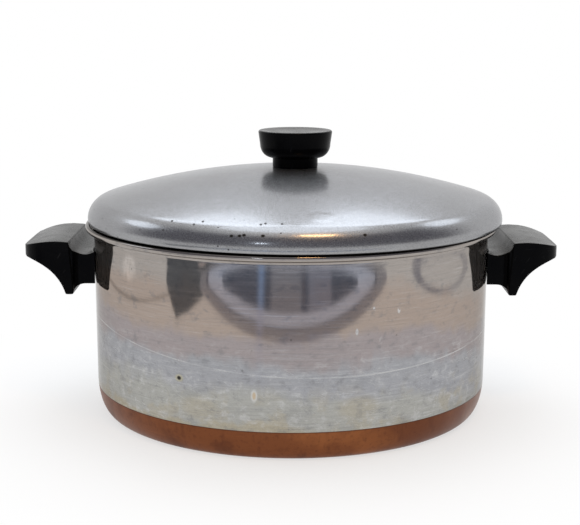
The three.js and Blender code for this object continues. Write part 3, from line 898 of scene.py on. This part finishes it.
class STOCKPOT_OT_body(bpy.types.Operator):
    """Spins the steel body with its bottom corner, cove and rolled bead"""

    bl_idname = "stockpot.body"
    bl_label = "Steel body"

    def execute(self, context):
        sizes = context.scene.stockpot_body
        finishes = context.scene.stockpot_finishes
        mesh = spun(self.outline(sizes), sizes.around)
        inner = sizes.wall_radius - 1.5 * sizes.wall_thickness
        for face in mesh.faces:
            middle = face.calc_center_median()
            out = Vector((middle.x, middle.y, 0))
            looks_in = face.normal.dot(out) < 0 and middle.z < sizes.rim_height - sizes.bead_radius
            floor = face.normal.z > 0 and out.length < inner
            face.material_index = 1 if looks_in or floor else 0
        body = as_object("steel_body", mesh)
        fit(body, "pot", "body_steel", "pot_shell", body_steel(finishes, sizes), inside_steel(finishes))
        return {"FINISHED"}

    def outline(self, sizes):
        foot = sizes.wall_radius - sizes.corner_reach
        inset = sizes.copper_thickness + sizes.copper_line
        line_height = sizes.copper_height + sizes.copper_line
        inner_reach = sizes.corner_reach - inset
        inner_rise = sizes.corner_rise - inset
        inner_end = math.asin((sizes.corner_rise - line_height) / inner_rise)
        outer_start = math.asin((sizes.corner_rise - line_height) / sizes.corner_rise)
        pen = Pen(0, inset)
        pen.line((foot, inset))
        pen.arc(foot, sizes.corner_rise, QUARTER_TURN - inner_end, 12, inner_rise / inner_reach)
        pen.line((foot + sizes.corner_reach * math.cos(outer_start), line_height))
        pen.arc(foot, sizes.corner_rise, outer_start, 6, sizes.corner_rise / sizes.corner_reach)
        flare_foot = sizes.rim_height - sizes.flare_depth
        cove = sizes.mouth_radius + sizes.cove_radius
        cove_turn = math.radians(75)
        pen.straight(sizes.mouth_radius, flare_foot)
        pen.arc(cove, flare_foot, -cove_turn)
        bead_x = sizes.rim_radius - sizes.bead_radius
        bead_z = sizes.rim_height - sizes.bead_radius
        bead_start, bead_end = math.radians(-111.6), math.radians(144)
        start_x = bead_x + sizes.bead_radius * math.cos(bead_start)
        pen.line((start_x, bead_z + sizes.bead_radius * math.sin(bead_start)))
        pen.arc(bead_x, bead_z, bead_end - bead_start, 20)
        inner_cove = sizes.cove_radius + sizes.wall_thickness
        pen.line((cove - inner_cove * math.cos(cove_turn), flare_foot + inner_cove * math.sin(cove_turn)))
        pen.arc(cove, flare_foot, cove_turn)
        inner_wall = sizes.wall_radius - sizes.wall_thickness
        corner_top = sizes.floor_height + sizes.inner_corner_rise
        pen.straight(inner_wall, corner_top)
        stretch = sizes.inner_corner_rise / sizes.inner_corner_reach
        pen.arc(inner_wall - sizes.inner_corner_reach, corner_top, -QUARTER_TURN, 16, stretch)
        pen.line((0, sizes.floor_height))
        return pen


class STOCKPOT_OT_copper(bpy.types.Operator):
    """Spins the copper layer round the bottom"""

    bl_idname = "stockpot.copper"
    bl_label = "Copper bottom"

    def execute(self, context):
        sizes = context.scene.stockpot_body
        foot = sizes.wall_radius - sizes.corner_reach
        edge_drop = sizes.corner_rise - sizes.copper_height
        inner_reach = sizes.corner_reach - sizes.copper_thickness
        inner_rise = sizes.corner_rise - sizes.copper_thickness
        outer_end = math.asin(edge_drop / sizes.corner_rise)
        stretch = sizes.corner_rise / sizes.corner_reach
        inner_start = math.asin(edge_drop / inner_rise)
        pen = Pen(0, 0)
        pen.line((foot, 0))
        pen.arc(foot, sizes.corner_rise, QUARTER_TURN - outer_end, 16, stretch)
        pen.line((foot + inner_reach * math.cos(inner_start), sizes.copper_height))
        pen.arc(foot, sizes.corner_rise, inner_start - QUARTER_TURN, 16, inner_rise / inner_reach)
        pen.line((0, sizes.copper_thickness))
        copper = as_object("copper_bottom", spun(pen, sizes.around))
        fit(copper, "pot", "copper", "copper_base", browned_copper(context.scene.stockpot_finishes))
        return {"FINISHED"}


class STOCKPOT_OT_lid(bpy.types.Operator):
    """Spins the domed lid with its shoulder, hem, ledge and skirt"""

    bl_idname = "stockpot.lid"
    bl_label = "Lid"

    def execute(self, context):
        sizes = context.scene.stockpot_lid
        mesh = spun(self.outline(sizes), context.scene.stockpot_body.around)
        bmesh.ops.translate(mesh, verts=mesh.verts, vec=(sizes.centre_x, 0, 0))
        lid = as_object("domed_lid", mesh)
        fit(lid, "lid", "lid_steel", "lid_shell", lid_steel(context.scene.stockpot_finishes))
        return {"FINISHED"}

    def outline(self, sizes):
        edge_height = sizes.ledge_height + sizes.hem_rise
        shoulder = sizes.radius - sizes.shoulder_radius
        reach = sizes.dome_radius - sizes.shoulder_radius
        dome_centre = edge_height - math.sqrt(reach**2 - shoulder**2)
        crown_angle = math.acos(sizes.crown_flat / sizes.dome_radius)
        edge_angle = math.acos(shoulder / reach)
        crown = dome_centre + sizes.dome_radius * math.sin(crown_angle)
        hem_x = sizes.radius - sizes.hem_reach
        bend_inner = sizes.skirt_bend - sizes.thickness
        bend_x = sizes.skirt_radius + bend_inner
        bend_z = sizes.ledge_height - bend_inner
        lip = sizes.thickness / 2
        pen = Pen(0, crown)
        pen.line((sizes.crown_flat, crown))
        pen.arc(0, dome_centre, edge_angle - crown_angle, 40)
        pen.arc(shoulder, edge_height, -edge_angle, 28)
        pen.arc(hem_x, edge_height, -QUARTER_TURN, 12, sizes.hem_rise / sizes.hem_reach)
        pen.line((bend_x, sizes.ledge_height))
        pen.arc(bend_x, bend_z, QUARTER_TURN, 6)
        pen.line((sizes.skirt_radius, sizes.skirt_bottom + lip))
        pen.arc(sizes.skirt_radius - lip, sizes.skirt_bottom + lip, -math.pi)
        pen.line((sizes.skirt_radius - sizes.thickness, bend_z))
        pen.arc(bend_x, bend_z, -QUARTER_TURN, 6)
        pen.line(
            (hem_x - lip, sizes.ledge_height + sizes.thickness),
            (shoulder + sizes.shoulder_radius - sizes.thickness, edge_height),
        )
        pen.arc(shoulder, edge_height, edge_angle, 20)
        pen.arc(0, dome_centre, crown_angle - edge_angle, 24)
        pen.line((0, crown - sizes.thickness))
        return pen


class STOCKPOT_OT_knob(bpy.types.Operator):
    """Spins the lid's knob with its dished top, bowl and neck"""

    bl_idname = "stockpot.knob"
    bl_label = "Lid knob"

    def execute(self, context):
        sizes = context.scene.stockpot_lid
        mesh = spun(self.outline(sizes), KNOB_STEPS)
        bmesh.ops.translate(mesh, verts=mesh.verts, vec=(sizes.centre_x, 0, 0))
        knob = as_object("moulded_knob", mesh)
        fit(knob, "lid", "phenolic", "lid_knob", black_phenolic(context.scene.stockpot_finishes))
        return {"FINISHED"}

    def outline(self, sizes):
        bottom = knob_low.z - 0.3 * MM
        neck_radius = sizes.knob_neck_radius
        neck_top = knob_low.z + sizes.knob_neck_height
        bowl_x = neck_radius + sizes.knob_brim
        bowl_z = neck_top + sizes.knob_bowl_rise
        bowl_reach = sizes.knob_radius - sizes.knob_taper - bowl_x
        edge_z = sizes.knob_top - sizes.knob_edge
        well_top = knob_low.z + sizes.knob_well_depth
        bore_top = well_top + sizes.knob_bore_depth
        foot = 0.4 * MM
        dish_edge = 0.6 * MM
        dish_swell = 0.4 * MM
        pen = Pen(0, bore_top)
        pen.line(
            (sizes.knob_bore_radius, bore_top),
            (sizes.knob_bore_radius, well_top),
            (sizes.knob_well_radius, well_top),
            (sizes.knob_well_radius, bottom),
            (neck_radius - foot, bottom),
        )
        pen.arc(neck_radius - foot, bottom + foot, QUARTER_TURN, 4)
        pen.line((neck_radius, neck_top - foot))
        pen.arc(neck_radius + foot, neck_top - foot, -QUARTER_TURN, 4)
        pen.line((bowl_x, neck_top))
        pen.arc(bowl_x, bowl_z, QUARTER_TURN, 16, sizes.knob_bowl_rise / bowl_reach)
        pen.line((sizes.knob_radius, edge_z))
        pen.arc(sizes.knob_radius - sizes.knob_edge, edge_z, QUARTER_TURN, 10)
        pen.line((sizes.knob_dish_radius + dish_edge, sizes.knob_top - 0.15 * sizes.knob_dish_depth))
        pen.bow(0, sizes.knob_top - sizes.knob_dish_depth, dish_swell, 16)
        return pen


# Sizes of the tools that cut the handles, and of the fixings that they make room for
OVERRUN = 1 * MM
TALL = 400 * MM
PLAN_REACH = 30 * MM
NECK_DEPTH = 16 * MM
FIN_EDGE = 0.9 * MM
PAD_THICKNESS = 6 * MM
TONGUE_THICKNESS = 1.6 * MM
SHANK_RADIUS = 2 * MM
INSERT_RADIUS = 3 * MM
HEAD_BORE = 20 * MM


class STOCKPOT_OT_handles(bpy.types.Operator):
    """Moulds the side handles: grip, hollow, fin, scooped neck and the seats of the bracket and screws"""

    bl_idname = "stockpot.handles"
    bl_label = "Side handles"

    def execute(self, context):
        material = black_phenolic(context.scene.stockpot_finishes)
        right = self.moulded(context, context.scene.stockpot_handles)
        left = right.copy()
        left.data = right.data.copy()
        left.data.transform(Matrix.Rotation(math.pi, 4, "Z"))
        context.scene.collection.objects.link(left)
        for side, made in (("right", right), ("left", left)):
            made.name = f"moulded_handle_{side}"
            fit(made, "pot", "phenolic", f"handle_{side}", material)
        return {"FINISHED"}

    def moulded(self, context, sizes):
        """The handle on the +X side: solids are cut and joined, then one smooth skin is drawn over them."""
        tall = Vector((0, TALL, 0))
        grip = as_object("grip", prism(self.grip_section(sizes), Vector((0, sizes.width, 0))))
        neck = as_object("neck", prism(self.neck_section(sizes), Vector((0, 2 * sizes.width, 0))))
        tools = [neck]
        for made, plan in ((grip, self.grip_plan(sizes)), (neck, self.neck_plan(sizes))):
            tool = as_object("plan", laid_flat(prism(plan, tall)))
            carve(made, tool, "INTERSECT")
            tools.append(tool)
        carve(grip, neck, "UNION")
        wall = context.scene.stockpot_body.mouth_radius + sizes.wall_gap
        cutters = [rod(0, 0, wall, 0, TALL, 360), self.bracket_seat(sizes)]
        for y in screw_rows:
            cutters += self.screw_seat(sizes, y)
        for cutter in cutters:
            tool = as_object("cutter", cutter)
            carve(grip, tool, "DIFFERENCE")
            tools.append(tool)
        skin = grip.modifiers.new("skin", "REMESH")
        skin.mode = "VOXEL"
        skin.voxel_size = sizes.voxel
        soft = grip.modifiers.new("soft", "SMOOTH")
        soft.factor = 0.5
        soft.iterations = sizes.soften
        applied(grip)
        for tool in tools:
            bpy.data.objects.remove(tool)
        grip.data.shade_smooth()
        return grip

    def grip_section(self, sizes):
        nose_top = sizes.ridge_height - sizes.nose_drop - sizes.nose_top
        nose_bottom = sizes.ridge_height - sizes.nose_depth
        bottom, inner, outer = sizes.fin_bottom, sizes.fin_x, sizes.fin_x + sizes.fin_width
        hollow_start = Vector((outer, bottom + FIN_EDGE))
        hollow_end = Vector((sizes.nose_x - sizes.nose_under, nose_bottom))
        half_chord = (hollow_end - hollow_start).length / 2
        rise = sizes.hollow_radius - math.sqrt(sizes.hollow_radius**2 - half_chord**2)
        pen = Pen(sizes.ridge_x, sizes.ridge_height)
        pen.line(
            (inner, bottom + FIN_EDGE),
            (inner + 0.3 * FIN_EDGE, bottom + 0.3 * FIN_EDGE),
            (inner + FIN_EDGE, bottom),
            (outer - FIN_EDGE, bottom),
            (outer - 0.3 * FIN_EDGE, bottom + 0.3 * FIN_EDGE),
            hollow_start,
        )
        pen.bow(*hollow_end, rise, 28)
        pen.arc(hollow_end.x, nose_bottom + sizes.nose_under, QUARTER_TURN, 5)
        pen.line((sizes.nose_x, nose_top))
        pen.arc(sizes.nose_x - sizes.nose_top, nose_top, QUARTER_TURN, 10)
        pen.bow(sizes.ridge_x, sizes.ridge_height, -sizes.crown_swell, 24)
        return pen

    def grip_plan(self, sizes):
        half = sizes.width / 2 + OVERRUN
        inner = sizes.fin_x - FIN_EDGE
        slope = math.atan2(sizes.bow, sizes.width / 2)
        radius = sizes.corner_radius
        corner_y = sizes.width / 2 - radius
        corner_x = sizes.nose_x - corner_y * math.tan(slope) - radius / math.cos(slope)
        pen = Pen(inner, -half)
        pen.line((corner_x, -half), (corner_x, -corner_y - radius))
        pen.arc(corner_x, -corner_y, QUARTER_TURN - slope, 14)
        pen.line(
            (sizes.nose_x + 0.01 * MM, 0),
            (corner_x + radius * math.cos(slope), corner_y + radius * math.sin(slope)),
        )
        pen.arc(corner_x, corner_y, QUARTER_TURN - slope, 14)
        pen.line((corner_x, half), (inner, half))
        return pen

    def neck_section(self, sizes):
        inner = sizes.ridge_x - PLAN_REACH
        fillet_x = sizes.fin_x - sizes.under_reach
        fillet_z = sizes.fin_bottom + sizes.under_foot
        fillet_rise = sizes.neck_bottom - fillet_z
        scoop = sizes.scoop_depth / sizes.scoop_reach
        pen = Pen(inner, sizes.neck_bottom)
        pen.line((fillet_x, sizes.neck_bottom))
        pen.arc(fillet_x, fillet_z, -QUARTER_TURN, 10, fillet_rise / sizes.under_reach)
        pen.line((sizes.ridge_x, sizes.ridge_height - NECK_DEPTH), (sizes.ridge_x, sizes.ridge_height))
        pen.arc(sizes.ridge_x - sizes.scoop_reach, sizes.ridge_height, math.radians(-135), 24, scoop)
        pen.line((inner, sizes.ridge_height))
        return pen

    def neck_plan(self, sizes):
        inner = sizes.ridge_x - PLAN_REACH
        half = sizes.neck_width / 2
        spread = half + sizes.neck_fillet
        turn_x = sizes.fin_x - sizes.neck_fillet
        pen = Pen(inner, -half)
        pen.line((turn_x, -half))
        pen.arc(turn_x, -spread, -QUARTER_TURN)
        pen.line((sizes.ridge_x, -spread), (sizes.ridge_x, spread), (sizes.fin_x, spread))
        pen.arc(turn_x, spread, -QUARTER_TURN)
        pen.line((inner, half))
        return pen

    def bracket_seat(self, sizes):
        """Room for the bracket: its pad against the wall and its tongue, spun through its width."""
        gap = sizes.slot_gap
        left, right = bracket_low.x - gap, bracket_high.x + gap
        bottom, top = bracket_low.z - gap, bracket_high.z + gap
        pad = bracket_low.x + PAD_THICKNESS
        tongue_top = bracket_low.z + TONGUE_THICKNESS + gap
        turn = 2 * math.asin((bracket_high.y + gap) / bracket_high.x)
        pen = Pen(left, bottom)
        pen.line((right, bottom), (right, tongue_top), (pad, tongue_top), (pad, top), (left, top))
        pen.close()
        mesh = pen.mesh
        face = bmesh.ops.contextual_create(mesh, geom=mesh.edges[:])["faces"]
        turned_about(mesh, "Z", -turn / 2)
        bmesh.ops.spin(mesh, geom=face, cent=(0, 0, 0), axis=(0, 0, 1), angle=turn, steps=12)
        bmesh.ops.recalc_face_normals(mesh, faces=mesh.faces)
        return mesh

    def screw_seat(self, sizes, y):
        """Room for a screw from below: its head, its shank and the insert that it turns into."""
        head_seat = screw_low.z + sizes.head_height
        slot_top = bracket_low.z + TONGUE_THICKNESS + sizes.slot_gap
        insert_top = screw_high.z + sizes.bore_gap
        return [
            rod(screw_x, y, screw_head_radius + sizes.bore_gap, screw_low.z - HEAD_BORE, head_seat),
            rod(screw_x, y, SHANK_RADIUS + sizes.bore_gap, head_seat - OVERRUN, slot_top),
            rod(screw_x, y, INSERT_RADIUS + sizes.bore_gap, slot_top - OVERRUN, insert_top),
        ]


def laid_flat(mesh):
    """Lays an outline drawn in XZ down into XY."""
    turned_about(mesh, "X", QUARTER_TURN)
    bmesh.ops.scale(mesh, verts=mesh.verts, vec=(1, -1, 1))
    bmesh.ops.reverse_faces(mesh, faces=mesh.faces)
    return mesh


class STOCKPOT_OT_fixings(bpy.types.Operator):
    """Turns the handle screws and finishes the brackets, inserts and stud"""

    bl_idname = "stockpot.fixings"
    bl_label = "Screws and fixings"

    def execute(self, context):
        finishes = context.scene.stockpot_finishes
        steel = plain_metal("bright_hardware", finishes.hardware, 0.24)
        brass = plain_metal("turned_brass", finishes.brass, 0.3)
        for side, turn in (("right", 0), ("left", math.pi)):
            for number, y in enumerate(screw_rows, start=1):
                mesh = self.screw(context.scene.stockpot_handles.head_height, y)
                turned_about(mesh, "Z", turn)
                screw = as_object(f"cross_screw_{side}_{number}", mesh, math.radians(30))
                fit(screw, "pot", "hardware_steel", f"handle_screw_{side}_{number}", steel)
                self.dress(f"handle_nut_{side}_{number}", brass)
            self.dress(f"bracket_{side}", steel)
        self.dress("knob_nut", brass)
        self.dress("knob_stud", steel)
        return {"FINISHED"}

    def dress(self, node, material):
        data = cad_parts[node].data
        data.materials.clear()
        data.materials.append(material)

    def screw(self, head, y):
        """A pan-head screw, head down."""
        edge_x = screw_head_radius - 2 * MM
        edge_z = screw_low.z + 0.1 * MM
        taper = 0.8 * MM
        pen = Pen(0, screw_low.z)
        pen.line((edge_x, edge_z))
        pen.arc(edge_x, edge_z + 1 * MM, QUARTER_TURN, 8, 0.5)
        pen.line(
            (screw_head_radius, screw_low.z + head),
            (SHANK_RADIUS, screw_low.z + head),
            (SHANK_RADIUS, screw_high.z - taper),
            (SHANK_RADIUS - taper, screw_high.z),
            (0, screw_high.z),
        )
        mesh = spun(pen, 32)
        bmesh.ops.translate(mesh, verts=mesh.verts, vec=(screw_x, y, 0))
        return mesh


class STOCKPOT_PT_panel(bpy.types.Panel):
    """Lists the pieces of the stockpot with their sizes and colours"""

    bl_label = "Stockpot"
    bl_idname = "STOCKPOT_PT_panel"
    bl_space_type = "VIEW_3D"
    bl_region_type = "UI"
    bl_category = "Stockpot"

    def draw(self, context):
        for operator in OPERATORS:
            self.layout.operator(operator.bl_idname)
        for name, group in GROUPS.items():
            box = self.layout.box()
            box.label(text=group.__doc__)
            for label in group.__annotations__:
                box.prop(getattr(context.scene, name), label, text=label.replace("_", " ").capitalize())


GROUPS = {
    "stockpot_body": StockpotBodySizes,
    "stockpot_lid": StockpotLidSizes,
    "stockpot_handles": StockpotHandleSizes,
    "stockpot_finishes": StockpotFinishes,
    "stockpot_studio": StockpotStudio,
}
OPERATORS = (
    STOCKPOT_OT_stage,
    STOCKPOT_OT_body,
    STOCKPOT_OT_copper,
    STOCKPOT_OT_lid,
    STOCKPOT_OT_knob,
    STOCKPOT_OT_handles,
    STOCKPOT_OT_fixings,
)


def register():
    for name, group in GROUPS.items():
        bpy.utils.register_class(group)
        setattr(bpy.types.Scene, name, PointerProperty(type=group))
    for made in (*OPERATORS, STOCKPOT_PT_panel):
        bpy.utils.register_class(made)


def unregister():
    for made in (STOCKPOT_PT_panel, *reversed(OPERATORS)):
        bpy.utils.unregister_class(made)
    for name, group in reversed(GROUPS.items()):
        delattr(bpy.types.Scene, name)
        bpy.utils.unregister_class(group)


def main():
    register()
    bpy.ops.stockpot.stage()
    bpy.ops.stockpot.body()
    bpy.ops.stockpot.copper()
    bpy.ops.stockpot.lid()
    bpy.ops.stockpot.knob()
    bpy.ops.stockpot.handles()
    bpy.ops.stockpot.fixings()


if __name__ == "__main__":
    main()
